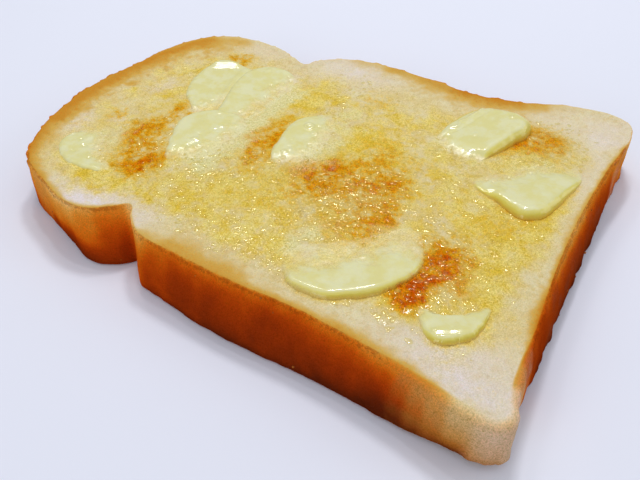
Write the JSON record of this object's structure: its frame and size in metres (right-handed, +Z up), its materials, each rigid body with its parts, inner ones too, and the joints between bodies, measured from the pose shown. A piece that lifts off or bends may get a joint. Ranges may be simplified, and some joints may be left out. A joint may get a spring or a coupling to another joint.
{
  "type": "slice of buttered toast",
  "caption": "Thick slice of white pan bread toast lying flat, with softened pats of butter melting on its browned cut face.",
  "frame": {"origin": "middle of the bottom of the whole object's box, on the surface that the slice lies on", "axes": "+Z up out of the buttered cut face, +Y from the base of the slice towards its domed crown, +X across the slice"},
  "size_m": [0.1204, 0.1546, 0.0192],
  "materials": {
    "toasted_bread": "matte, porous white crumb, browned and butter-soaked in patches, with an orange-brown crust",
    "soft_butter": "glossy, pale yellow, softened and half melted"
  },
  "bodies": {
    "root": {"bread_slice": "toasted_bread", "butter_pat_1": "soft_butter", "butter_pat_2": "soft_butter", "butter_pat_3": "soft_butter", "butter_pat_4": "soft_butter", "butter_pat_5": "soft_butter", "butter_pat_6": "soft_butter", "butter_pat_7": "soft_butter", "butter_pat_8": "soft_butter", "butter_pat_9": "soft_butter"}
  },
  "joints": []
}
